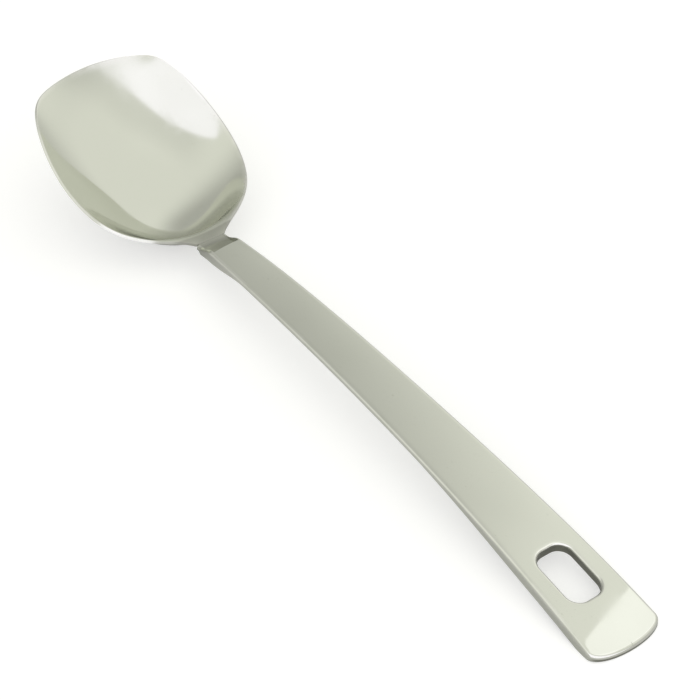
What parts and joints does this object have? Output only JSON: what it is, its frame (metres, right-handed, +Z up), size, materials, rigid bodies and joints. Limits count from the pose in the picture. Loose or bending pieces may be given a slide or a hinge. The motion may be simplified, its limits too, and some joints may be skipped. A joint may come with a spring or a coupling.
{
  "type": "serving spoon",
  "caption": "Serving spoon with a deep blunt-fronted bowl, welded to an arched channel handle that has a rounded hanging hole near its end.",
  "frame": {"origin": "on the surface that the spoon lies on, under the middle of its length and width", "axes": "+X from the hanging end towards the front edge of the bowl, +Y to the left seen that way, +Z up, out of the bowl"},
  "size_m": [0.3, 0.0684, 0.0437],
  "materials": {
    "polished_steel": "polished",
    "weld_steel": "as welded"
  },
  "bodies": {
    "root": {"bowl": "polished_steel", "handle": "polished_steel", "weld_beads": "weld_steel"}
  },
  "joints": []
}
